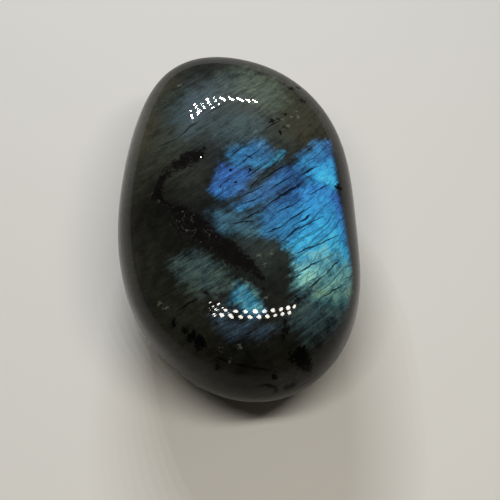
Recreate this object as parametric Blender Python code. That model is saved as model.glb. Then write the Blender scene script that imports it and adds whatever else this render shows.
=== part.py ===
"""A labradorite pebble: one palm-sized piece of feldspar, tumbled to a smooth egg-shaped stone and polished.

The stone is a single solid. Its girth, the widest outline seen from above, is a closed curve through a
few radii. Above the girth it rises to a low full crown, below it rounds under to a belly, and the belly
ends in a small flat foot that the stone rests on. The long way runs along Y and the short way up Z.
"""

import math

import bmesh
import bpy
from mathutils import Vector

MM = 0.001

NODE = "stone"

# Lengths below are in mm and start from the stone's middle, the point inside it at the girth's height.

# Girth: distance from the middle to the outline, seen from above, one radius for every twelfth of a
# turn, anticlockwise from +X. The far end (+Y) is the narrower one and leans towards -X.
GIRTH_RADII = (18.5, 21.5, 27.5, 33.0, 27.0, 21.0, 20.5, 23.0, 28.0, 34.0, 28.5, 20.0)

CROWN_RISE = 12.8  # from the girth up to the top
BELLY_DROP = 15.2  # from the girth down to the lowest point, before the foot is worn flat
CROWN_FULLNESS = 2.55  # exponent of the profile: 2 is an ellipse, more is flatter on top, fuller at the edge
BELLY_FULLNESS = 2.3
FOOT_WEAR = 0.15  # worn off the belly to make the flat foot

# Low swells (+) and worn hollows (-) that keep the stone from being a perfect egg. Each has its
# direction round from +X and up from the girth, its reach, all in degrees, and its height.
SWELLS = (
    (106, 8, 18, 2.00),  # shoulder of the narrow end
    (228, 14, 24, 1.00),  # long side, near end
    (200, 48, 30, -0.35),  # on the crown above it
    (55, 40, 26, 0.30),  # crown, far right
    (-60, 34, 24, -0.35),  # crown, near right
    (20, -30, 36, -0.50),  # belly, right side
    (262, -30, 34, 0.80),  # belly, near end
)

FACE_DIVISIONS = 24  # facets along each side of the cube that the stone is blown up from
SMALLEST_CREASE = math.radians(40)  # only the foot's rim could be sharper than this

STONE_COLOUR = (0.035, 0.055, 0.070, 1.0)
STONE_ROUGHNESS = 0.12


def girth_radius(angle):
    """Radius of the girth in that direction, in mm: a closed uniform cubic B-spline over GIRTH_RADII."""
    count = len(GIRTH_RADII)
    place = (angle / math.tau * count) % count
    index = math.floor(place)
    t = place - index
    weights = (
        (1 - t) ** 3 / 6,
        (3 * t**3 - 6 * t**2 + 4) / 6,
        (-3 * t**3 + 3 * t**2 + 3 * t + 1) / 6,
        t**3 / 6,
    )
    return sum(w * GIRTH_RADII[(index + step - 1) % count] for step, w in enumerate(weights))


def unit_direction(azimuth_degrees, elevation_degrees):
    azimuth, elevation = math.radians(azimuth_degrees), math.radians(elevation_degrees)
    return Vector((
        math.cos(elevation) * math.cos(azimuth),
        math.cos(elevation) * math.sin(azimuth),
        math.sin(elevation),
    ))


def swell_height(direction):
    """Sum of the swells and hollows in that direction, in mm."""
    total = 0.0
    for azimuth, elevation, reach, height in SWELLS:
        away = math.degrees(direction.angle(unit_direction(azimuth, elevation)))
        total += height * math.exp(-((away / reach) ** 2))
    return total


def stone_radius(direction):
    """Distance from the stone's middle to its surface along a unit direction, in mm."""
    across = math.hypot(direction.x, direction.y)
    girth = girth_radius(math.atan2(direction.y, direction.x))
    if direction.z >= 0:
        reach, fullness = CROWN_RISE, CROWN_FULLNESS
    else:
        reach, fullness = BELLY_DROP, BELLY_FULLNESS
    spread = (across / girth) ** fullness + (abs(direction.z) / reach) ** fullness
    return spread ** (-1 / fullness) + swell_height(direction)


def sphere_direction(corner):
    """Unit direction of a point on the cube, with the divisions spread evenly by angle."""
    return Vector(math.tan(c * math.pi / 4) for c in corner).normalized()


def blow_up_stone(mesh):
    """A cube divided into a fine grid, with each corner of the grid moved out to the stone's surface."""
    bmesh.ops.create_cube(mesh, size=2.0)
    bmesh.ops.subdivide_edges(mesh, edges=mesh.edges[:], cuts=FACE_DIVISIONS - 1, use_grid_fill=True)
    for vertex in mesh.verts:
        direction = sphere_direction(vertex.co)
        vertex.co = direction * stone_radius(direction)


def wear_foot(mesh):
    """Cuts the lowest bit of the belly off level, and closes the cut with the flat face of the foot."""
    lowest = min(vertex.co.z for vertex in mesh.verts)
    bmesh.ops.bisect_plane(
        mesh,
        geom=mesh.verts[:] + mesh.edges[:] + mesh.faces[:],
        dist=1e-4,
        plane_co=(0, 0, lowest + FOOT_WEAR),
        plane_no=(0, 0, -1),
        clear_outer=True,
    )
    rim = [edge for edge in mesh.edges if edge.is_boundary]
    bmesh.ops.edgeloop_fill(mesh, edges=rim)


def set_on_foot(mesh):
    """Moves the stone so that its foot is at Z = 0 and the middle of its box is over the origin."""
    low = Vector(min(v.co[axis] for v in mesh.verts) for axis in range(3))
    high = Vector(max(v.co[axis] for v in mesh.verts) for axis in range(3))
    middle = (low + high) / 2
    bmesh.ops.translate(mesh, verts=mesh.verts[:], vec=(-middle.x, -middle.y, -low.z))


def polished_stone():
    material = bpy.data.materials.new("labradorite")
    material.use_nodes = True
    shader = material.node_tree.nodes["Principled BSDF"]
    shader.inputs["Base Color"].default_value = STONE_COLOUR
    shader.inputs["Roughness"].default_value = STONE_ROUGHNESS
    shader.inputs["Metallic"].default_value = 0.0
    return material


def make_stone():
    mesh = bmesh.new()
    blow_up_stone(mesh)
    wear_foot(mesh)
    set_on_foot(mesh)
    bmesh.ops.triangulate(mesh, faces=mesh.faces[:])
    bmesh.ops.recalc_face_normals(mesh, faces=mesh.faces[:])
    bmesh.ops.scale(mesh, verts=mesh.verts[:], vec=(MM, MM, MM))
    data = bpy.data.meshes.new(NODE)
    mesh.to_mesh(data)
    mesh.free()
    data.shade_smooth()
    data.set_sharp_from_angle(angle=SMALLEST_CREASE)
    data.materials.append(polished_stone())
    stone = bpy.data.objects.new(NODE, data)
    bpy.context.scene.collection.objects.link(stone)
    size = ", ".join(f"{extent / MM:.1f}" for extent in stone.dimensions)
    print(f"{NODE}: {size} mm, {len(data.polygons)} triangles")


for existing in list(bpy.data.objects):
    bpy.data.objects.remove(existing)
make_stone()
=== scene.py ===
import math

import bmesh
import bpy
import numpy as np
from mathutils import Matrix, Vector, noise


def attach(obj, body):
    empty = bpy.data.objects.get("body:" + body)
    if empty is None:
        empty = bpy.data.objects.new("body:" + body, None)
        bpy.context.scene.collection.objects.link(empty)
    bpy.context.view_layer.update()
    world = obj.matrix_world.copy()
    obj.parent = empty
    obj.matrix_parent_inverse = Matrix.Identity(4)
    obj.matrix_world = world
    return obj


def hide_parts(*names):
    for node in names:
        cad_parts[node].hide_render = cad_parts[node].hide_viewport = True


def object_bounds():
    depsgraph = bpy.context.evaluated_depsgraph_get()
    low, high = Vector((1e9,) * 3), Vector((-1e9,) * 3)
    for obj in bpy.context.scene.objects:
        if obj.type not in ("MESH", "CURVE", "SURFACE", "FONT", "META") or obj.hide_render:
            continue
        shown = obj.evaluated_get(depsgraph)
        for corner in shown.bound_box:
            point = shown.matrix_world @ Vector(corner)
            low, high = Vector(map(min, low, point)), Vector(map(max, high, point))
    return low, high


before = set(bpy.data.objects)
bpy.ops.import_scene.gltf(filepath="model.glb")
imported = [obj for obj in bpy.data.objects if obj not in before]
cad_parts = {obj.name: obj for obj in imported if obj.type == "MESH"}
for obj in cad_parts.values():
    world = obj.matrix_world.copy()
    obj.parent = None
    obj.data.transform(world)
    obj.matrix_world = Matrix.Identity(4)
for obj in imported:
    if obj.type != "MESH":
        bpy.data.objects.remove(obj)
part_low, part_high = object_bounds()

# %% [markdown]
# # A polished labradorite pebble
#
# Labradorite is a dark feldspar made of thin parallel layers. Where those layers lie at the right angle
# they send back a sheet of pure colour, from royal blue through cyan to green, and everywhere else the
# stone stays a smoky grey. This lesson builds one palm-sized pebble in six steps:
#
# 1. the smooth stone, blown up from a divided cube;
# 2. what lies in it: the layers, the sheets of colour, the dark seam, the inclusions and the cracks;
# 3. the fine relief of its surface;
# 4. the places of all those, kept on the mesh as fields;
# 5. its one material, which turns the fields into colour, gloss and grain;
# 6. the floor, the camera and the lamps.
#
# All lengths are in mm and start from the stone's middle, the point inside it at the height of its
# widest outline, until the finished mesh is moved onto its foot and scaled to metres.

MM = 0.001

part_size = (part_high - part_low) / MM
print("part: %.1f x %.1f x %.1f mm" % tuple(part_size))

# %% [markdown]
# ## 1. The smooth stone
#
# A tumbled stone has no flat faces and no edges, only long soft curves. It could be sculpted, or a
# ball could be pulled about by hand. A formula is used instead, because it gives one distance for
# each direction from the middle, so the same stone can be made as fine as it needs to be.
#
# The girth is a closed curve shaped by twelve radii. Above and below it the stone follows a
# super-ellipse, and a few low swells and worn hollows keep it from being a perfect egg. The near
# half is the wider one. A divided cube gives more even faces than a globe, which crowds them at its
# poles.

# %% The stone's formula
GIRTH_RADII = (18.5, 21.5, 27.5, 33.0, 27.0, 21.0, 20.5, 23.0, 28.0, 34.0, 28.5, 20.0)
CROWN_RISE, CROWN_FULLNESS = 12.8, 2.55
BELLY_DROP, BELLY_FULLNESS = 15.2, 2.3
FOOT_WEAR = 0.15
SWELLS = (  # direction round from +X and up from the girth, and reach, in degrees, then height
    (106, 8, 18, 2.00),
    (228, 14, 24, 1.00),
    (200, 48, 30, -0.35),
    (55, 40, 26, 0.30),
    (-60, 34, 24, -0.35),
    (20, -30, 36, -0.50),
    (262, -30, 34, 0.80),
)


def girth_radius(angles):
    """Radius of the girth in those directions: a closed uniform cubic B-spline over GIRTH_RADII."""
    radii = np.array(GIRTH_RADII)
    place = (angles / math.tau * len(radii)) % len(radii)
    index = np.floor(place).astype(int)
    t = place - index
    weights = (
        (1 - t) ** 3 / 6,
        (3 * t**3 - 6 * t**2 + 4) / 6,
        (-3 * t**3 + 3 * t**2 + 3 * t + 1) / 6,
        t**3 / 6,
    )
    return sum(w * radii[(index + step - 1) % len(radii)] for step, w in enumerate(weights))


def unit_direction(azimuth_degrees, elevation_degrees):
    azimuth, elevation = math.radians(azimuth_degrees), math.radians(elevation_degrees)
    flat = math.cos(elevation)
    return np.array((flat * math.cos(azimuth), flat * math.sin(azimuth), math.sin(elevation)))


def stone_radius(directions):
    """Distance from the middle to the surface along each unit direction."""
    x, y, z = directions.T
    girth = girth_radius(np.arctan2(y, x))
    reach = np.where(z >= 0, CROWN_RISE, BELLY_DROP)
    fullness = np.where(z >= 0, CROWN_FULLNESS, BELLY_FULLNESS)
    spread = (np.hypot(x, y) / girth) ** fullness + (np.abs(z) / reach) ** fullness
    radius = spread ** (-1 / fullness)
    for azimuth, elevation, span, height in SWELLS:
        away = np.degrees(np.arccos(np.clip(directions @ unit_direction(azimuth, elevation), -1, 1)))
        radius += height * np.exp(-((away / span) ** 2))
    return radius


# %% A divided cube, blown up to the stone
DIVISIONS = 108  # along each side of the cube
FINE_PLACES = ((-1.0, -21.5, 8.5, 4.0), (-2.0, 16.0, 7.5, 4.5))  # x, y, half length, half width
FINE_CUTS = 3  # across each edge there, where the polish mirrors the lamps


def corners_of(mesh):
    return np.array([vertex.co for vertex in mesh.verts])


def move_corners(mesh, places):
    for vertex, place in zip(mesh.verts, places):
        vertex.co = place


mesh = bmesh.new()
bmesh.ops.create_cube(mesh, size=2.0)
bmesh.ops.subdivide_edges(mesh, edges=mesh.edges[:], cuts=DIVISIONS - 1, use_grid_fill=True)
mesh.verts.index_update()


def blown_up(cube_places):
    """Where the places on the cube lie on the stone."""
    directions = np.tan(cube_places * math.pi / 4)
    directions /= np.linalg.norm(directions, axis=1)[:, None]
    return directions * stone_radius(directions)[:, None]


x, y, z = blown_up(corners_of(mesh)).T
fine = np.zeros(len(x), bool)
for near_x, near_y, half_length, half_width in FINE_PLACES:
    fine |= (z > 0) & (np.hypot((x - near_x) / half_length, (y - near_y) / half_width) < 1)
fine_edges = [edge for edge in mesh.edges if fine[edge.verts[0].index] and fine[edge.verts[1].index]]
bmesh.ops.subdivide_edges(mesh, edges=fine_edges, cuts=FINE_CUTS, use_grid_fill=True)
move_corners(mesh, blown_up(corners_of(mesh)))
print(f"smooth stone: {len(mesh.verts)} corners, {len(fine_edges)} edges cut finer")

# %% The flat foot, worn off the lowest point
lowest = min(vertex.co.z for vertex in mesh.verts)
bmesh.ops.bisect_plane(
    mesh,
    geom=mesh.verts[:] + mesh.edges[:] + mesh.faces[:],
    dist=1e-4,
    plane_co=(0, 0, lowest + FOOT_WEAR),
    plane_no=(0, 0, -1),
    clear_outer=True,
)
rim = [edge for edge in mesh.edges if edge.is_boundary]
bmesh.ops.edgeloop_fill(mesh, edges=rim)
FOOT_LEVEL = lowest + FOOT_WEAR
print(f"foot: closed with {len(rim)} edges at {FOOT_LEVEL:.2f} mm")

# %% [markdown]
# ## 2. What lies in the stone
#
# The feldspar's layers are parallel planes that lean back and to the left. Everything that is streaky
# in the stone runs along them, so a place is also measured across and along the layers.
#
# Each sheet of colour has an outline seen from above, a glow (how bright it is), a hue, and the width
# over which its edge fades. The sheets are painted reflection: the flash that the layers send back is
# painted into the stone's colour, as bright as it is from the front and above under these lamps. The hue
# stands for the spacing of the layers: 0 is royal blue, 0.5 cyan, 1 yellow green. The spacing grows
# towards the near end, so there a sheet's hue is greener, which shows most in the bright ones. The
# sheets could be painted on as an image, but an outline in mm stays sharp however close the camera
# comes, and each sheet can be moved or recoloured by itself.

# %% The layers
LAYER_NORMAL = Vector((-0.515, 0.857, 0.75)).normalized()
LAYER_STRIKE = Vector((0.857, 0.515, 0.0)).normalized()
LAYER_DIP = LAYER_NORMAL.cross(LAYER_STRIKE)
TICK_NORMAL = Vector((-0.87, 0.49, 0.10)).normalized()  # a second, weaker family of cracks
TICK_STRIKE = Vector((0.49, 0.87, 0.0)).normalized()
TICK_DIP = TICK_NORMAL.cross(TICK_STRIKE)
HUE_PER_MM = 0.046
GREENER_WAY = np.array((0.1, -1.0))  # seen from above
print("layers: %.0f degrees from level" % math.degrees(LAYER_NORMAL.angle(Vector((0, 0, 1)))))

# %% The sheets of colour: glow, hue, softness of the edge, outline seen from above
# Each sheet is a painted reflection: the flash of the layers, painted into the stone's colour.
CROWN_SHEETS = {
    "bright corner": (1.10, 0.46, 1.0, (
        (10.5, 0), (11.5, 1.5), (13, 3), (16, 4.5), (17, 2.5), (17, -0.5), (15, -1.5), (12.5, -1),
    )),
    "corner tip": (0.50, 0.24, 1.2, (
        (9.5, 1.5), (10, 3.5), (12, 5), (13.5, 7), (16, 7.5), (17, 6.5), (17, 4.5), (14, 3), (12, 1.5),
    )),
    "main band": (0.88, 0.47, 1.3, (
        (9, -2.5), (11, -1.5), (13.5, -1.5), (15, -2.5), (17, -4.5), (17.5, -7.5), (17, -12), (14, -15),
        (11, -17.5), (9, -19.5), (7, -19.5), (6, -18), (6.5, -14.5), (5.5, -12.5), (8, -9.5), (9, -6.5),
    )),
    "upper blue": (0.31, 0.24, 1.2, (
        (-1.5, 5), (-0.5, 6), (2, 6.5), (4, 7), (5.5, 5.5), (5, 3), (3.5, 2), (1.5, 2.5), (0, 2), (-1, 3.5),
    )),
    "royal patch": (0.46, 0.08, 0.8, (
        (-5.5, -1), (-4.5, 1), (-3, 3.5), (-2, 3), (0, 2), (1.5, 2), (2, 0.5), (0.5, -1), (0.5, -2),
        (-1.5, -3), (-3.5, -3), (-4.5, -2.5),
    )),
    "middle blue": (0.34, 0.16, 1.0, (
        (-2, -5), (-0.5, -4), (1, -3), (3.5, -1), (5.5, 0.5), (7.5, 1.5), (9.5, 1.5), (10.5, -0.5),
        (9, -1.5), (6.5, -3), (4, -4.5), (1.5, -5.5), (-1, -6),
    )),
    "lower blue": (0.40, 0.22, 1.2, (
        (2, -7), (4, -5), (6, -4), (8.5, -2), (9.5, -3), (9, -6.5), (8, -9.5), (6.5, -11.5), (5, -12),
        (4, -10.5), (2.5, -10.5), (2, -8.5),
    )),
    "patch gap": (0.15, 0.16, 1.0, ((0.5, -2.5), (1, -0.5), (2.5, 1.5), (4, 1), (3, -0.5), (1.5, -2))),
    "band notch": (0.30, 0.20, 1.0, ((8.5, -0.5), (10, 0.5), (12, -0.5), (11, -2), (9, -2.5))),
    "pale sliver": (0.28, 0.54, 0.4, ((3, 1.5), (5, 2), (6.5, 3), (8, 4.5), (7.5, 5), (6, 3.5), (4.5, 2.5))),
    "teal edge": (0.16, 0.52, 1.6, (
        (-6, -5.5), (-4, -5), (-2.5, -5.5), (-0.5, -6.5), (1.5, -8), (2, -9), (1, -10), (-1.5, -10),
        (-4, -9.5), (-5.5, -8),
    )),
    "near spark": (0.29, 0.60, 0.9, (
        (-4, -19.5), (-3, -18.5), (-2, -18.5), (-0.5, -20), (0.5, -23), (-1, -23.5), (-2.5, -23),
        (-3, -21.5), (-4.5, -21),
    )),
    "spark rim": (0.30, 0.88, 0.8, ((-1, -19), (0, -20), (0, -21), (-1, -21))),
    "near shade": (0.11, 0.24, 1.8, (
        (-7, -22.5), (-5, -23.5), (-2.5, -24.5), (0, -24.5), (1, -25.5), (0.5, -26.5), (-2, -26),
        (-4.5, -26.5), (-6, -25),
    )),
    "left teal": (0.115, 0.78, 2.2, (
        (-12.5, -13), (-11, -12), (-9, -12), (-6.5, -13.5), (-5, -16), (-4.5, -18), (-6.5, -19), (-9, -19),
        (-10.5, -18), (-12, -16),
    )),
    "far green": (0.10, 0.90, 2.4, (
        (3, 24.5), (5.5, 24), (7.5, 22), (9.5, 19), (9.5, 16), (7.5, 13.5), (5, 14), (3.5, 18), (1.5, 19.5),
    )),
    "far teal": (0.05, 0.70, 2.2, ((-0.5, 23.5), (1.5, 24), (2.5, 21), (2, 18), (0, 18.5), (-1.5, 20))),
    "far blue": (0.045, 0.25, 3.2, (
        (-6, 21), (-3.5, 20), (-3, 17.5), (-4.5, 13), (-7, 10.5), (-8.5, 11.5), (-9, 15), (-7.5, 18.5),
    )),
    "middle teal": (0.035, 0.55, 2.4, (
        (-1, 13), (2.5, 13.5), (5.5, 11.5), (4.5, 9.5), (1.5, 8.5), (-1, 8.5), (-2, 10),
    )),
    "near right teal": (0.125, 0.68, 2.8, (
        (6, -21.5), (9, -22), (12, -21.5), (15, -20), (14.5, -22.5), (12, -24.5), (9, -26.5), (6.5, -27),
        (5.5, -25),
    )),
    "green corner": (0.64, 0.76, 1.6, (
        (9, -20.5), (10.5, -18), (13, -15.5), (15, -13.5), (17, -14.5), (16.5, -17.5), (15.5, -20.5),
        (12.5, -21.5), (10, -21.5),
    )),
}
# The belly's sheets are painted flash too.
BELLY_SHEETS = {
    "belly blue": (0.40, 0.22, 1.0, ((-9, 2), (-2, 9), (4, 11), (6, 6), (0, 0), (-6, -3))),
    "belly teal": (0.24, 0.66, 1.5, ((0, -6), (8, -2), (11, -9), (6, -18), (-1, -13))),
    "belly green": (0.14, 0.90, 2.5, ((-9, -12), (-4, -9), (-3, -17), (-8, -20))),
}
print(f"sheets of colour: {len(CROWN_SHEETS)} on the crown, {len(BELLY_SHEETS)} on the belly")

# %% [markdown]
# Between the sheets the stone is smoky. Soft clouds say how pale it is there, and how blue. The pale
# brown clouds at the near rim and the upper left rim are a painted reflection of the warm floor, laid
# over the smoky tone.
# The dark seam took no polish. It bends down the left of the crown, rough at first and smooth further
# on. Small black inclusions and pale specks lie here and there. The inclusions that catch the eye are
# placed one by one, but the specks are scattered at random, so each cluster only says where it is and
# how many it has.

# %% The clouds, with the painted rim reflection among them
CLOUDS_AND_RIM_REFLECTIONS = (  # x, y, reach, paleness, blueness
    (-7.0, 15.5, 7.5, 0.90, 0.8),
    (0.0, 12.5, 6.0, 0.60, 0.9),
    (6.0, 19.5, 7.0, 0.95, -0.1),
    (11.0, 11.5, 6.0, 0.80, 0.1),
    (-12.0, 8.5, 5.0, 0.55, 0.1),
    (7.0, 5.5, 4.0, 0.40, 0.9),
    (2.5, -1.5, 4.5, 0.70, 1.5),
    (0.5, -8.0, 4.5, 0.40, 1.2),
    (-17.5, 4.0, 4.5, 0.26, 0.0),
    (-18.0, -11.0, 5.0, 0.26, 0.1),
    (-8.0, 1.5, 4.0, 0.40, 0.3),
    (2.0, -13.5, 4.5, 0.55, 0.7),
    (-12.0, -21.0, 6.0, 0.35, 0.1),
    (4.0, -25.0, 5.0, 0.15, 0.4),
    (13.0, 9.5, 4.5, 0.26, -1.0),
    # at the near rim and the upper left rim: painted reflection of the warm floor
    (2.0, -34.5, 4.5, 0.22, -1.0),
    (-10.0, -30.5, 4.0, 0.16, -0.6),
    (-17.0, 15.5, 4.5, 1.10, -0.8),
    (-11.5, 24.0, 4.0, 0.50, -0.8),
)
print(f"clouds: {len(CLOUDS_AND_RIM_REFLECTIONS)}")

# %% The seam
SEAM = (  # x, y, half width, roughness
    (-5.5, 6.5, 0.6, 0.6),
    (-6.5, 6.0, 1.3, 0.8),
    (-8.0, 5.5, 1.5, 0.8),
    (-9.0, 5.0, 1.1, 0.8),
    (-11.5, 4.5, 0.6, 1.0),
    (-13.5, 1.5, 0.9, 1.0),
    (-14.0, 0.0, 0.9, 1.0),
    (-13.0, -2.0, 0.7, 0.9),
    (-11.5, -3.5, 0.9, 1.0),
    (-10.5, -5.0, 1.7, 1.0),
    (-9.0, -7.0, 2.1, 1.0),
    (-7.5, -9.0, 2.0, 0.8),
    (-6.0, -10.5, 1.7, 0.3),
    (-4.0, -12.5, 1.7, 0.1),
    (-2.5, -14.0, 1.5, 0.0),
    (-1.0, -15.5, 1.1, 0.0),
    (1.0, -18.0, 0.3, 0.2),
)
print(f"seam: a line through {len(SEAM)} points")

# %% The inclusions and the specks
INCLUSIONS = (  # x, y, radius
    (5.5, -29.5, 1.25), (6.5, -30.0, 0.75), (4.0, -29.5, 0.50), (6.0, -28.5, 0.40),  # near end, right
    (3.5, -26.0, 0.70), (3.0, -27.0, 0.45), (3.5, -25.0, 0.35), (6.0, -21.5, 0.35),
    (-10.0, -25.5, 0.85), (-11.0, -24.5, 0.70), (-9.5, -26.0, 0.60), (-12.0, -23.5, 0.45),  # near end, left
    (-4.0, -23.5, 0.35), (-13.5, -22.0, 0.35), (-8.0, -19.0, 0.30), (-7.5, -22.0, 0.30), (1.0, -19.5, 0.20),
    (1.0, -31.5, 0.35), (-7.5, -29.0, 0.35),  # at the near rim
    (7.5, 8.5, 0.40), (8.5, 9.5, 0.20), (6.5, 11.0, 0.45), (7.5, 11.5, 0.25), (9.0, 12.5, 0.30),  # far right
    (11.0, 19.5, 0.50), (12.5, 20.5, 0.35), (12.5, 16.5, 0.40), (16.0, -1.0, 0.50),
    (1.5, 1.5, 0.30), (-1.5, 2.0, 0.15), (-3.5, -1.0, 0.15), (-1.0, -0.5, 0.15),  # in the royal patch
)
SPECK_CLUSTERS = (  # x, y, reach, how many
    (2.5, -15.0, 1.5, 3),
    (-1.5, -17.5, 1.5, 4),
    (-0.5, -6.5, 0.5, 2),
    (-5.5, -28.0, 2.0, 3),
    (-14.0, -17.5, 2.0, 2),
    (6.0, -13.5, 0.5, 1),
    (1.0, -20.5, 0.5, 1),
    (4.0, 21.0, 2.5, 4),
    (9.5, 11.5, 2.0, 6),
    (2.0, 8.5, 2.0, 4),
    (6.0, 4.0, 2.5, 4),
    (-7.5, 22.0, 1.5, 3),
)
SPECK_RADII = (0.14, 0.30)  # smallest, largest
scatter = np.random.default_rng(7)
SPECKS = [
    (x + scatter.uniform(-reach, reach), y + scatter.uniform(-reach, reach), scatter.uniform(*SPECK_RADII))
    for x, y, reach, how_many in SPECK_CLUSTERS
    for _ in range(how_many)
]
print(f"{len(INCLUSIONS)} inclusions and {len(SPECKS)} specks")

# %% [markdown]
# The stone has also cracked, mostly along its layers. Countless hairlines can be left to noise, but
# the longer cracks break up the bright sheets, so each of them gets a line of its own.

# %% The cracks
CRACKS = (  # from x, y to x, y, then width
    (-1.5, -8.0, 2.5, -6.0, 0.20),
    (2.5, -6.0, 9.0, -2.0, 0.18),
    (-3.0, -8.0, 1.0, -8.0, 0.14),
    (-1.5, 4.5, 1.5, 6.5, 0.13),
    (1.0, 4.5, 2.5, 3.5, 0.14),
    (2.0, -10.5, 6.0, -9.0, 0.13),
    (5.5, -9.0, 11.0, -5.5, 0.13),
    (5.0, -12.0, 8.5, -9.0, 0.15),
    (8.0, -9.0, 10.5, -7.0, 0.22),
    (9.0, -0.5, 13.5, 2.5, 0.13),
    (9.0, -13.5, 15.0, -10.0, 0.12),
    (6.5, -17.5, 11.0, -15.0, 0.15),
    (5.0, -18.5, 7.5, -17.5, 0.12),
    (8.0, -20.0, 11.0, -17.5, 0.18),
    (11.0, -17.5, 14.0, -14.5, 0.13),
    (9.5, -21.5, 14.0, -18.5, 0.12),
    (15.0, -1.0, 16.0, -1.5, 0.35),
    (0.5, -2.5, 3.0, 0.0, 0.11),
    (3.0, 0.0, 8.0, 4.5, 0.13),
    (-1.0, -5.0, 3.0, -3.5, 0.12),
    (4.5, -7.0, 8.5, -5.0, 0.12),
    (-13.5, 9.5, -9.0, 10.0, 0.12),
    (-9.5, 10.0, -5.5, 13.0, 0.16),
    (-13.0, -20.5, -9.0, -19.5, 0.20),
    (-1.5, -32.0, 2.5, -32.5, 0.13),
    (2.0, -32.5, 5.0, -31.5, 0.15),
    (4.5, -32.0, 7.0, -31.0, 0.13),
    (4.5, 9.0, 8.5, 11.5, 0.14),
    (-11.5, -13.0, -9.0, -11.5, 0.12),
    (10.0, -4.0, 14.5, -1.0, 0.12),
    (-0.5, 2.5, 4.0, 5.5, 0.11),
    (0.5, 0.0, 4.5, 2.5, 0.11),
    (2.5, -1.0, 8.5, 2.5, 0.13),
    (4.0, -2.5, 9.5, 0.5, 0.12),
    (4.5, -4.5, 10.5, -1.0, 0.12),
    (7.0, -10.5, 13.0, -7.0, 0.11),
    (6.0, -14.5, 11.0, -12.5, 0.11),
    (-3.5, -0.5, -1.5, 0.5, 0.10),
    (-1.0, -3.5, 4.0, -1.5, 0.12),
    (-8.0, -28.0, -5.5, -29.0, 0.12),
    (-5.0, -29.5, -2.5, -30.0, 0.14),
    (-3.0, -30.0, 0.5, -31.0, 0.13),
)
print(f"cracks: {len(CRACKS)}")

# %% How far a place is from those outlines and lines


def along_line(points, start, end):
    """How far each point is from a straight line, and its share of the way from start to end."""
    start, end = np.array(start), np.array(end)
    way = end - start
    share = np.clip((points - start) @ way / (way @ way), 0, 1)
    return np.linalg.norm(points - start - share[:, None] * way, axis=1), share


def inside(points, outline):
    """How far inside a closed outline each point lies. Outside it the distance is negative."""
    nearest = np.full(len(points), np.inf)
    within = np.zeros(len(points), bool)
    x, y = points.T
    for (x0, y0), (x1, y1) in zip(outline, outline[1:] + outline[:1]):
        nearest = np.minimum(nearest, along_line(points, (x0, y0), (x1, y1))[0])
        level = (y0 > y) != (y1 > y)
        within ^= level & (x < x0 + (y - y0) / (y1 - y0 or 1) * (x1 - x0))
    return np.where(within, nearest, -nearest)


def inside_seam(points):
    """How far inside the seam's edge each point lies, and how rough the seam is there."""
    best = np.full(len(points), -np.inf)
    rough = np.zeros(len(points))
    for (x0, y0, half0, rough0), (x1, y1, half1, rough1) in zip(SEAM, SEAM[1:]):
        away, share = along_line(points, (x0, y0), (x1, y1))
        depth = half0 + (half1 - half0) * share - away
        rough = np.where(depth > best, rough0 + (rough1 - rough0) * share, rough)
        best = np.maximum(best, depth)
    return best, rough


def soft_step(values, low, high):
    """0 below low, 1 above high, and a smooth way up between them."""
    t = np.clip((values - low) / (high - low), 0, 1)
    return t * t * (3 - 2 * t)


# %% [markdown]
# ## 3. Fine relief
#
# The seam is pitted. Along the layers the polish left very faint ripples, about a thousandth of a
# millimetre high, and about a hundredth at two places on the left. That is too little to see, but
# enough to draw the reflections of small lamps out into hairs. Pits and ripples could be a bump in
# the material, but the clear gloss over it mirrors the lamps by the mesh alone, so both are pressed
# into the mesh along its normals.

# %% Pits and polishing ripples
SEAM_PITS = 0.18
RIPPLE = 0.0016
HAIRY_PLACES = ((-4.5, 15.5, 2.5, 11.0), (-7.5, -20.5, 2.5, 9.0))  # x, y, reach, times as rippled


def layer_place(point, across, along, dip):
    """A place measured across and along the layers, each scaled, to look up stretched noise."""
    return Vector((
        point.dot(LAYER_NORMAL) * across,
        point.dot(LAYER_STRIKE) * along,
        point.dot(LAYER_DIP) * dip,
    ))


mesh.normal_update()
plan = corners_of(mesh)[:, :2]
heights = corners_of(mesh)[:, 2]
seam_depth, seam_rough = inside_seam(plan)
pitted = soft_step(seam_depth, 0.1, 1.0) * (0.25 + 0.75 * seam_rough) * (heights > 0)
deepest = 0
hairy = np.full(len(plan), RIPPLE)
for x, y, reach, times in HAIRY_PLACES:
    hairy += RIPPLE * times * np.exp(-((np.hypot(plan[:, 0] - x, plan[:, 1] - y) / reach) ** 2))
for vertex, pit, hair in zip(mesh.verts, pitted, hairy):
    if vertex.co.z <= FOOT_LEVEL + 1e-3:
        continue
    rise = hair * noise.noise(layer_place(vertex.co, 2.4, 0.5, 0.9))
    if pit > 0:
        rise -= SEAM_PITS * pit * (0.35 + 0.65 * abs(noise.noise(vertex.co * 1.3)) * 2)
    vertex.co += vertex.normal * rise
    deepest = max(deepest, -rise)
print(f"seam: {int((pitted > 0).sum())} corners pressed in, by {deepest:.2f} mm at the deepest")

# %% [markdown]
# ## 4. Fields on the mesh
#
# For every corner the mesh keeps how far it is inside the nearest sheet of colour, that sheet's glow
# and hue, how pale and how blue the clouds are there, how far inside the seam it is and how rough
# the seam is. The finished colour could be kept instead, but it would blur between the corners.
# These are distances and soft amounts, so the material can cut crisp ragged edges out of them.
# Towards the girth, where the surface turns away from the layers and from the lamps, every sheet fades
# out smoothly into painted shade, and some turn bluer as they do.

# %% Sheets: distance inside, glow and hue
# Where the sheets' painted light ends towards the girth: painted shade.
GIRTH_FADE = ((-22, 1.2), (-12, 2.9), (6, 3.9), (12, 1.2))  # y, how far inside the girth it is half
FADE_WIDTH = 1.4
FADE_BLUENESS = ((-17, 0), (-11, 0.25), (-4, 0.25), (0, 0.1))  # y, how much the hue drops at the fade
BLUE_SPAN = (0.2, 2.2)  # of the fade, over which the hue drops
SHEET_BLEND = 0.5  # over this part of their softness neighbouring sheets run into each other


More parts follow.
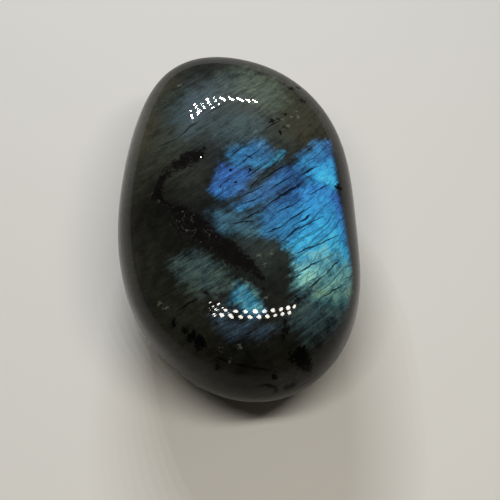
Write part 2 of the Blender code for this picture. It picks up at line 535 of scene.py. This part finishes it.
def sheet_fields(plan, heights):
    """Distance inside the nearest sheet, in softnesses, and the glow and hue there."""
    depths, glows, hues = [], [], []
    for sheets, side in ((CROWN_SHEETS, 1), (BELLY_SHEETS, -1)):
        for glow, hue, softness, outline in sheets.values():
            middle = np.mean(outline, axis=0)
            drift = (plan - middle) @ GREENER_WAY * HUE_PER_MM * glow
            depths.append(np.minimum(inside(plan, outline), side * heights + 1) / softness)
            glows.append(np.full(len(plan), glow))
            hues.append(hue + drift)
    weights = np.exp(np.clip(depths, -20, 20) / SHEET_BLEND)
    total = weights.sum(axis=0)
    shares = weights / total
    return np.log(total) * SHEET_BLEND, (shares * glows).sum(axis=0), (shares * hues).sum(axis=0)


def girth_fade(plan):
    """How lit each point is near the girth: 0 where the light ends, 1 in full light, more inside."""
    from_girth = girth_radius(np.arctan2(plan[:, 1], plan[:, 0])) - np.hypot(plan[:, 0], plan[:, 1])
    return (from_girth - np.interp(plan[:, 1], *zip(*GIRTH_FADE))) / FADE_WIDTH + 0.5


points = corners_of(mesh)
plan, heights = points[:, :2], points[:, 2]
crown = soft_step(heights, -2, 2)
fields = {}
fields["sheet_depth"], fields["sheet_glow"], fields["sheet_hue"] = sheet_fields(plan, heights)
# Painted shade on the sheets towards the girth, and their painted shift to blue there.
fade = girth_fade(plan)
fields["sheet_fade"] = soft_step(fade, 0, 1)
fields["sheet_hue"] -= (1 - soft_step(fade, *BLUE_SPAN)) * np.interp(plan[:, 1], *zip(*FADE_BLUENESS))

# %% Clouds and seam
BELLY_PALENESS = 0.15  # the belly is smoky all over
pale, blue = np.zeros(len(plan)), np.zeros(len(plan))
for x, y, reach, paleness, blueness in CLOUDS_AND_RIM_REFLECTIONS:
    near = np.exp(-((np.hypot(plan[:, 0] - x, plan[:, 1] - y) / reach) ** 2)) * paleness
    pale, blue = pale + near, blue + near * blueness
fields["cloud_and_rim_reflection"] = pale * crown + BELLY_PALENESS * (1 - crown)
fields["cloud_blue"] = blue / np.maximum(pale, 1e-3)
depth, fields["seam_rough"] = inside_seam(plan)
fields["seam_depth"] = np.minimum(depth, heights + 1)
for name, values in fields.items():
    print(f"field {name}: {values.min():.2f} to {values.max():.2f}")

# %% The finished mesh, on its foot, in metres, filling the part's box
low, high = points.min(axis=0), points.max(axis=0)
fit = np.array(part_size) / (high - low)
middle = (low + high) / 2
shift = np.array((-middle[0], -middle[1], -low[2]))
move_corners(mesh, (points + shift) * fit * MM)
bmesh.ops.triangulate(mesh, faces=mesh.faces[:])
bmesh.ops.recalc_face_normals(mesh, faces=mesh.faces[:])
stone_mesh = bpy.data.meshes.new("pebble")
mesh.to_mesh(stone_mesh)
mesh.free()
stone_mesh.shade_smooth()
for name, values in fields.items():
    attribute = stone_mesh.attributes.new(name, "FLOAT", "POINT")
    attribute.data.foreach_set("value", values.astype(np.float32))
pebble = bpy.data.objects.new("pebble", stone_mesh)
bpy.context.scene.collection.objects.link(pebble)
print(f"pebble: {len(stone_mesh.polygons)} triangles, scaled by {fit.round(4)} to fill the part's box")

# %% [markdown]
# ## 5. The material
#
# The finish is that of polished stone: a dark grainy body, the colour that lies in it, and a clear
# gloss over both. Each sheet could have a material of its own, but then its edge would follow the
# faces of the mesh. One material that works its colour out at every point draws far finer edges. A
# real labradorite changes colour as it is turned. Here the sheets are a painted reflection: their flash
# is painted into the base colour, with a little metal, and keeps the colour and brightness that it has
# from the front and above.
#
# Shader values are written as plain arithmetic. The class below wraps one socket, and adding,
# multiplying or comparing it adds the nodes that do so. One method makes every other kind of node.

# %% Arithmetic on shader sockets


class Field:
    """A value that changes over a surface: one output socket of the node tree being written."""

    tree = None

    def __init__(self, socket):
        self.socket = socket

    @classmethod
    def node(cls, kind, settings, inputs, output=0):
        """Adds a node, applies its settings, then sets or links its inputs, and returns one output."""
        node = cls.tree.nodes.new("ShaderNode" + kind)
        for name, value in settings.items():
            setattr(node, name, value)
        for name, value in inputs.items():
            if isinstance(value, Field):
                cls.tree.links.new(value.socket, node.inputs[name])
            else:
                node.inputs[name].default_value = value
        return cls(node.outputs[output])

    def maths(self, operation, *others):
        return self.node("Math", {"operation": operation}, dict(enumerate((self, *others))))

    def __add__(self, other):
        return self.maths("ADD", other)

    def __mul__(self, other):
        return self.maths("MULTIPLY", other)

    def __sub__(self, other):
        return self.maths("SUBTRACT", other)

    def __rsub__(self, other):
        return self.node("Math", {"operation": "SUBTRACT"}, {0: other, 1: self})

    __radd__ = __add__
    __rmul__ = __mul__

    def __abs__(self):
        return self.maths("ABSOLUTE")

    def larger(self, other):
        return self.maths("MAXIMUM", other)

    def smaller(self, other):
        return self.maths("MINIMUM", other)

    def step(self, low, high):
        """0 below low, 1 above high, and a smooth way up between them."""
        return self.node(
            "MapRange",
            {"interpolation_type": "SMOOTHSTEP"},
            {"Value": self, "From Min": low, "From Max": high},
        )


def stored(name):
    """A field kept on the mesh."""
    return Field.node("Attribute", {"attribute_name": name}, {}, "Fac")


def mixed(first, second, share):
    """Goes from the first colour to the second as share goes from 0 to 1."""
    return Field.node("Mix", {"data_type": "RGBA"}, {0: share, 6: first, 7: second}, 2)


def scaled(colour, amount):
    """A colour made lighter or darker."""
    return Field.node("VectorMath", {"operation": "SCALE"}, {0: colour, "Scale": amount})


def grain(place, scale, detail=2.0, roughness=0.5):
    """Smooth noise from about 0.2 to 0.8, even on average."""
    settings = {"Vector": place, "Scale": scale, "Detail": detail, "Roughness": roughness}
    return Field.node("TexNoise", {}, settings)


def stretched(place, across, along, dip):
    """Scales a place differently along its three directions."""
    return Field.node("VectorMath", {"operation": "MULTIPLY"}, {0: place, 1: (across, along, dip)})


def thin_line(value, width):
    """1 where value crosses a half, fading to 0 over width on both sides."""
    return 1 - abs(value - 0.5).step(0, width)


# %% Where a place is, in the stone and in its layers
material = bpy.data.materials.new("labradorite")
material.use_nodes = True
Field.tree = material.node_tree
shader = material.node_tree.nodes["Principled BSDF"]

object_place = Field.node("TexCoord", {}, {}, "Object")
place = Field.node(
    "VectorMath",
    {"operation": "MULTIPLY_ADD"},
    {0: object_place, 1: tuple(1 / fit / MM), 2: tuple(-shift)},
)


def dot(direction):
    return Field.node("VectorMath", {"operation": "DOT_PRODUCT"}, {0: place, 1: tuple(direction)}, "Value")


def combined(*directions):
    return Field.node("CombineXYZ", {}, {i: dot(direction) for i, direction in enumerate(directions)})


layers = combined(LAYER_NORMAL, LAYER_STRIKE, LAYER_DIP)
ticks = combined(TICK_NORMAL, TICK_STRIKE, TICK_DIP)
height = dot((0, 0, 1))

# %% Bands, streaks and hairlines along the layers
bands = grain(stretched(layers, 0.42, 0.035, 0.10), 1.0, 2.0).step(0.30, 0.70)
streaks = grain(stretched(layers, 1.7, 0.13, 0.35), 1.0, 3.0, 0.6).step(0.28, 0.72)
fine_streaks = grain(stretched(layers, 4.2, 0.5, 1.0), 1.0, 2.0, 0.6).step(0.25, 0.75)
mottle = grain(place, 0.55, 4.0, 0.6).step(0.30, 0.70)
fine_mottle = grain(place, 2.4, 3.0, 0.6).step(0.25, 0.75)


def hairlines(along, spacing, half_width, run, seed):
    """Thin straight lines across the first axis of a place, each tapering to nothing at both ends."""
    moved = Field.node("VectorMath", {"operation": "ADD"}, {0: along, 1: (seed, 0, 0)})
    across = Field.node("SeparateXYZ", {}, {0: moved}, "X") * (1 / spacing)
    bend = grain(stretched(moved, 0.3 / spacing, 0.09, 0.12), 1.0, 2.0) * 2.4
    away = abs((across + bend).maths("FRACT") - 0.5)
    presence = grain(stretched(moved, 0.9 / spacing, 1 / run, 1 / run), 1.0, 2.0).step(0.44, 0.64)
    return 1 - away.step(0, (presence * (half_width / spacing)).larger(0.001))


long_lines = hairlines(layers, spacing=1.6, half_width=0.22, run=10.0, seed=3.1)
short_lines = hairlines(layers, spacing=0.85, half_width=0.16, run=4.0, seed=17.7)
pale_lines = hairlines(layers, spacing=1.1, half_width=0.16, run=5.0, seed=31.9)
tick_lines = hairlines(ticks, spacing=1.3, half_width=0.16, run=3.5, seed=7.3)
crumpled = Field.node(
    "VectorMath",
    {"operation": "MULTIPLY_ADD"},
    {
        0: Field.node("TexNoise", {}, {"Vector": place, "Scale": 1.2}, "Color"),
        1: (1.1, 1.1, 1.1),
        2: stretched(layers, 1.5, 0.55, 0.9),
    },
)
cell_edge = Field.node(
    "TexVoronoi", {"feature": "DISTANCE_TO_EDGE"}, {"Vector": crumpled, "Scale": 1.0}, "Distance"
)
net = (1 - cell_edge.step(0.0, 0.14)) * grain(place, 0.5, 2.0).step(0.38, 0.6)

# %% The spots: how far inside the nearest of them a place is, with a ragged edge
level_place = stretched(place, 1, 1, 0)
on_crown = height.step(-1, 1)


def spots(centres, raggedness):
    """How far inside the nearest spot a place is, and far outside everywhere on the belly."""
    deepest = None
    for x, y, radius in centres:
        away = Field.node("VectorMath", {"operation": "DISTANCE"}, {0: level_place, 1: (x, y, 0)}, "Value")
        depth = radius - away
        deepest = depth if deepest is None else deepest.larger(depth)
    return (deepest + (fine_mottle - 0.5) * raggedness) * on_crown + (on_crown - 1) * 3


# %% The cracks: long thin ellipses, measured from a slightly shaken place so that they wander
SHAKE = (0.6, 0.6, 0)
shake = Field.node("TexNoise", {}, {"Vector": place, "Scale": 0.7, "Detail": 3.0}, "Color")
shake = Field.node("VectorMath", {"operation": "SUBTRACT"}, {0: shake, 1: (0.5, 0.5, 0.5)})
shaken = Field.node("VectorMath", {"operation": "MULTIPLY_ADD"}, {0: shake, 1: SHAKE, 2: level_place})
nearest_crack = None
for x0, y0, x1, y1, width in CRACKS:
    measured = Field.node(
        "Mapping",
        {"vector_type": "TEXTURE"},
        {
            "Vector": shaken,
            "Location": ((x0 + x1) / 2, (y0 + y1) / 2, 0),
            "Rotation": (0, 0, math.atan2(y1 - y0, x1 - x0)),
            "Scale": (math.hypot(x1 - x0, y1 - y0) / 2, width, 1),
        },
    )
    away = Field.node("VectorMath", {"operation": "LENGTH"}, {0: measured}, "Value")
    nearest_crack = away if nearest_crack is None else nearest_crack.smaller(away)
cracks = (1 - nearest_crack.step(0.5, 1.2)) * on_crown

# %% The glow of the sheets: the brightness of their painted reflection
GLOW = 1.42
glow = stored("sheet_glow")
evenness = glow.step(0.1, 0.6)  # bright sheets are crisp and cracked, dim ones are hazy
ragged = (streaks - 0.5) * 0.6 + (bands - 0.5) * 0.4 + (mottle - 0.5) * 0.4 + (fine_mottle - 0.5) * 0.3
sheet = (stored("sheet_depth") + ragged).step(-0.8, 0.8)
stripe = (bands - 0.5) * 0.4 + (streaks - 0.5) * 0.4 + (fine_mottle - 0.5) * 0.25 + (mottle - 0.5) * 0.4
stripe = stripe + (fine_streaks - 0.5) * (1 - evenness) * 0.9
lines = (long_lines * 0.75).larger(short_lines * 0.7).larger(tick_lines * 0.6).larger(net * 0.6)
lines = lines * (0.5 + 0.5 * evenness)
# The brightness of the sheets' painted reflection, dimmed by the painted shade at the girth.
light = sheet * stored("sheet_fade") * glow * GLOW * (1 + stripe) * (1 - lines) * (1 + 0.4 * pale_lines)

# %% The colour of the sheets' painted reflection
ROYAL = (0.045, 0.19, 0.66, 1)
AZURE = (0.045, 0.38, 0.84, 1)
CYAN = (0.055, 0.52, 0.94, 1)
TEAL = (0.17, 0.52, 0.60, 1)
GREEN = (0.27, 0.52, 0.38, 1)
OLIVE = (0.42, 0.50, 0.25, 1)
DULL = (0.30, 0.38, 0.36, 1)

hue = stored("sheet_hue") + (mottle - 0.5) * 0.11 + (bands - 0.5) * 0.08 + (fine_mottle - 0.5) * 0.07
sheen = mixed(ROYAL, AZURE, hue.step(0.0, 0.35))
for colour, low_hue, high_hue in (
    (CYAN, 0.35, 0.55),
    (TEAL, 0.52, 0.72),
    (GREEN, 0.72, 0.90),
    (OLIVE, 0.98, 1.20),
):
    sheen = mixed(sheen, colour, hue.step(low_hue, high_hue))
sheen = mixed(sheen, DULL, (1 - glow.step(0.08, 0.30)) * 0.5)  # dim sheets are greyer
sheen_light = scaled(sheen, light)

# %% The smoky body between the sheets
SMOKE_DARK = (0.0056, 0.0058, 0.0048, 1)
SMOKE_OLIVE = (0.052, 0.053, 0.036, 1)
SMOKE_BLUE = (0.040, 0.062, 0.064, 1)
SMOKE_AND_RIM_REFLECTION_BROWN = (0.056, 0.049, 0.038, 1)
SEAM_BLACK = (0.0030, 0.0024, 0.0022, 1)
SEAM_RUST = (0.0052, 0.0040, 0.0042, 1)
# pale threads in the seam: painted glints
SEAM_PAINTED_GLINT = (0.10, 0.095, 0.085, 1)
PALE = (0.30, 0.36, 0.26, 1)
BLACK = (0.0015, 0.0015, 0.0015, 1)

blueness = stored("cloud_blue")
# Brown is both smoke and the painted reflection of the warm floor in the rim.
smoke = mixed(mixed(SMOKE_OLIVE, SMOKE_BLUE, blueness), SMOKE_AND_RIM_REFLECTION_BROWN, blueness * -1)
broad, fine = mottle + streaks, fine_mottle + fine_streaks
# The clouds' paleness, which holds the painted rim reflection too.
cloud_and_rim_reflection = stored("cloud_and_rim_reflection") * (0.5 + 0.5 * broad) * (0.6 + 0.4 * fine)
body = mixed(scaled(SMOKE_DARK[:3], 0.5 + mottle), smoke, cloud_and_rim_reflection)
body = scaled(body, 1 - 0.25 * short_lines.larger(long_lines))
colour = Field.node("VectorMath", {"operation": "ADD"}, {0: body, 1: sheen_light})

# %% Specks, seam, inclusions and cracks over it
colour = mixed(colour, PALE, spots(SPECKS, 0.9).step(-0.05, 0.16) * 0.22)
seam_edge = stored("seam_depth") + (fine_mottle - 0.5) * 1.1 + (mottle - 0.5) * 0.9
seam = seam_edge.step(-0.25, 0.35)
rough = stored("seam_rough")
# Pale threads across the rough seam are painted glints of its crystal ridges.
painted_glint_threads = thin_line(grain(place, 0.8, 1.0, 0.6), 0.018) * grain(place, 0.9, 2.0).step(0.42, 0.6)
seam_colour = mixed(SEAM_BLACK, SEAM_RUST, grain(place, 0.8, 2.0).step(0.45, 0.75))
seam_colour = mixed(seam_colour, SEAM_PAINTED_GLINT, painted_glint_threads * rough)
colour = mixed(colour, seam_colour, seam * 0.96)
black = spots(INCLUSIONS, 0.9).step(-0.08, 0.10).larger(cracks * 0.92)
colour = mixed(colour, BLACK, black)

# %% Gloss and grain
BASE_ROUGHNESS = 0.42
POLISH = 0.56  # of the clear coat in the middle of the stone
NEAR_END_DIMMING, FAR_END_DIMMING = 0.32, 0.24  # less clear coat at the ends, which darkens what they mirror: painted shade on their reflections
near_end = 1 - dot((0, 1, 0)).step(-32, -16)
far_end = dot((0.45, 0.9, 0)).step(8, 22)
polish = POLISH - NEAR_END_DIMMING * near_end - FAR_END_DIMMING * far_end
relief = fine_streaks * 0.4 + streaks * 0.6 - lines * 0.6
tilted = Field.node("Bump", {}, {"Strength": 0.25, "Distance": 0.0001, "Height": relief})
for name, value in {
    "Base Color": colour,
    "Metallic": light * 0.25,
    "Roughness": BASE_ROUGHNESS + 0.25 * seam - 0.08 * sheet,
    "Coat Weight": polish * (1 - seam.larger(black)),
    "Normal": tilted,
}.items():
    Field.tree.links.new(value.socket, shader.inputs[name])
shader.inputs["Specular IOR Level"].default_value = 0.03
shader.inputs["Coat Roughness"].default_value = 0.03
shader.inputs["Coat IOR"].default_value = 1.5
stone_mesh.materials.append(material)
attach(pebble, "root")
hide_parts("stone")
print(f"labradorite: {len(material.node_tree.nodes)} nodes")

# %% [markdown]
# ## 6. Floor, camera and lamps
#
# The stone lies on a pale warm floor. Two bars of small round lamps hang over it, one in front and
# one behind, each with two rows. They are what the polish mirrors as two arcs of dots. One large
# lamp would light the stone as well, but the polish would mirror it as one white patch. The room
# itself is nearly dark, apart from its far walls and two soft glows.

# %% The floor
FLOOR_REACH = 1.5
FLOOR_COLOUR = (0.81, 0.793, 0.755, 1)
floor_mesh = bpy.data.meshes.new("floor")
mesh = bmesh.new()
bmesh.ops.create_grid(mesh, x_segments=1, y_segments=1, size=FLOOR_REACH)
mesh.to_mesh(floor_mesh)
mesh.free()
floor = bpy.data.objects.new("floor", floor_mesh)
bpy.context.scene.collection.objects.link(floor)
floor_material = bpy.data.materials.new("pale floor")
floor_material.use_nodes = True
floor_shader = floor_material.node_tree.nodes["Principled BSDF"]
floor_shader.inputs["Base Color"].default_value = FLOOR_COLOUR
floor_shader.inputs["Roughness"].default_value = 0.9
floor_mesh.materials.append(floor_material)
print(f"floor: {2 * FLOOR_REACH} m wide")

# %% The camera
AZIMUTH, ELEVATION = math.radians(-7.5), math.radians(60)
DISTANCE = 0.236
TARGET = Vector((0.0018, -0.0040, 0.0120))
LENS = 100
back = Vector((
    math.sin(AZIMUTH) * math.cos(ELEVATION),
    -math.cos(AZIMUTH) * math.cos(ELEVATION),
    math.sin(ELEVATION),
))
camera_data = bpy.data.cameras.new("camera")
camera_data.lens = LENS
camera = bpy.data.objects.new("camera", camera_data)
camera.location = TARGET + back * DISTANCE
camera.rotation_euler = (-back).to_track_quat("-Z", "Y").to_euler()
bpy.context.scene.collection.objects.link(camera)
bpy.context.scene.camera = camera
print("camera at %.3f, %.3f, %.3f m" % tuple(camera.location))

# %% The lamps
LAMPS_IN_A_ROW = 10
LAMP_HEIGHT = 0.25
LAMP_AIM = Vector((0, 0, 0.01))
BARS = {  # left and right end of the middle line, gap between its two rows, lamp width, watts, colour
    "front": ((-0.080, -0.062), (0.112, -0.065), (0.015, 0.015), 0.0105, 0.0161, (1.0, 0.96, 0.87)),
    "rear": ((-0.078, 0.280), (0.088, 0.362), (-0.003, 0.005), 0.005, 0.0460, (0.90, 0.94, 1.0)),
}

for bar_name, (left, right, row_gap, width, watts, lamp_colour) in BARS.items():
    left, right = Vector((*left, LAMP_HEIGHT)), Vector((*right, LAMP_HEIGHT))
    row_gap = Vector((*row_gap, 0))
    for index in range(LAMPS_IN_A_ROW):
        share = index / (LAMPS_IN_A_ROW - 1)
        for row in (-0.5, 0.5):
            lamp = bpy.data.lights.new(f"{bar_name} lamp", "AREA")
            lamp.shape = "DISK"
            lamp.size = width
            lamp.energy = watts
            lamp.color = lamp_colour
            holder = bpy.data.objects.new(f"{bar_name} lamp", lamp)
            holder.location = left.lerp(right, share) + row_gap * row
            aim = LAMP_AIM - holder.location
            holder.rotation_euler = aim.to_track_quat("-Z", "Y").to_euler()
            bpy.context.scene.collection.objects.link(holder)
print(f"lamps: {2 * LAMPS_IN_A_ROW * len(BARS)}")

# %% The room
ROOM_GLOWS = ((15, 40, 6, 0.18), (165, 8, 5, 0.12))  # azimuth, elevation, sharpness, radiance
HORIZON_GLOW = (9, 0.15)  # sharpness, radiance: the far walls of the room
ROOM_DARKNESS = 0.006  # radiance of the rest of the room
ROOM_COLOUR = (1.0, 0.88, 0.72, 1)

world = bpy.data.worlds.new("room")
world.use_nodes = True
Field.tree = world.node_tree
room_direction = Field.node("TexCoord", {}, {}, "Generated")
level = 1 - abs(Field.node("SeparateXYZ", {}, {0: room_direction}, "Z"))
brightness = level.maths("POWER", HORIZON_GLOW[0]) * HORIZON_GLOW[1] + ROOM_DARKNESS
for azimuth, elevation, sharpness, radiance in ROOM_GLOWS:
    towards = Field.node(
        "VectorMath",
        {"operation": "DOT_PRODUCT"},
        {0: room_direction, 1: tuple(unit_direction(azimuth, elevation))},
        "Value",
    )
    brightness = towards.larger(0.0).maths("POWER", sharpness) * radiance + brightness
room_light = world.node_tree.nodes["Background"]
Field.tree.links.new(brightness.socket, room_light.inputs["Strength"])
room_light.inputs["Color"].default_value = ROOM_COLOUR
bpy.context.scene.world = world
bpy.context.scene.view_settings.view_transform = "Standard"
print(f"room: {len(ROOM_GLOWS)} glows and the horizon")
